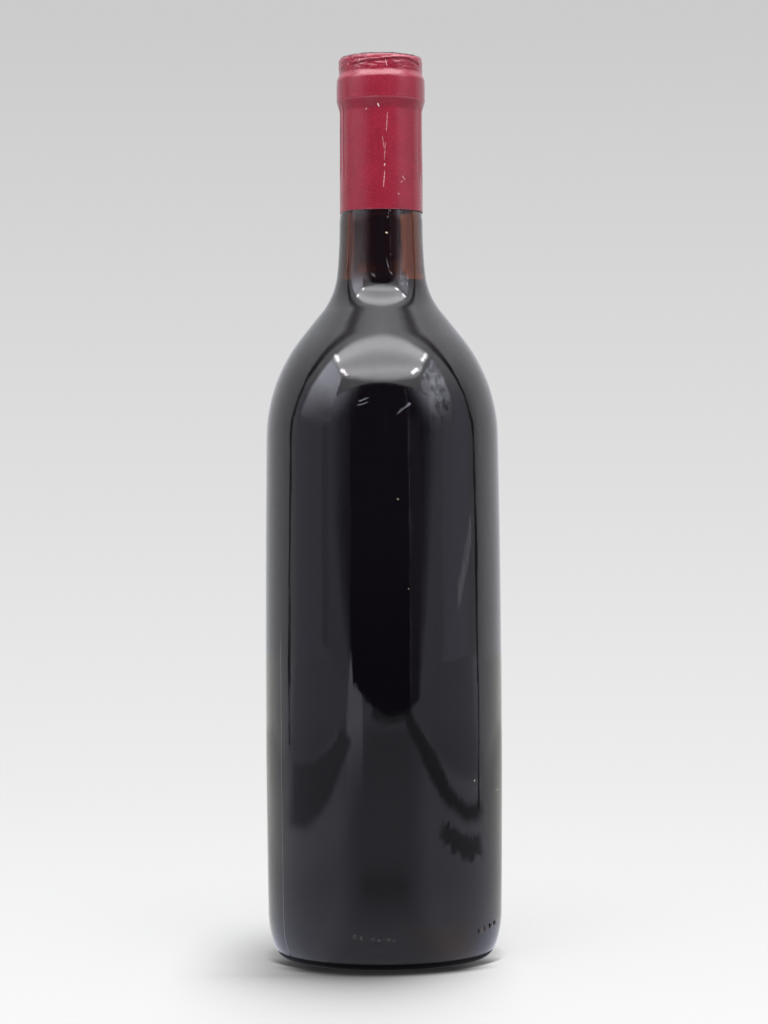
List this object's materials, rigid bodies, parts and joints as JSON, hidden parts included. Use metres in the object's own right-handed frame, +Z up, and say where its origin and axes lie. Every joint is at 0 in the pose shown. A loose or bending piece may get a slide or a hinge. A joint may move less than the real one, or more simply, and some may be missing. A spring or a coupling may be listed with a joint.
{
  "type": "wine bottle",
  "caption": "Corked, full red wine bottle of dark glass with sloping shoulders, a straight body, a punt and a shrunk crimson capsule over the ringed neck.",
  "frame": {"origin": "centre of the bearing ring, on the surface the bottle stands on", "axes": "+Z up the bottle's axis towards the capsule; -Y faces the viewer of the picture and +X is to the viewer's right"},
  "size_m": [0.0766, 0.0766, 0.292],
  "materials": {
    "dark_olive_glass": "polished, very dark brown-green",
    "red_wine": "clear dark red liquid",
    "natural_cork": "dry, fine-pored",
    "crimson_foil": "satin"
  },
  "bodies": {
    "root": {"bottle_glass": "dark_olive_glass", "wine": "red_wine", "cork": "natural_cork", "capsule": "crimson_foil"}
  },
  "joints": []
}
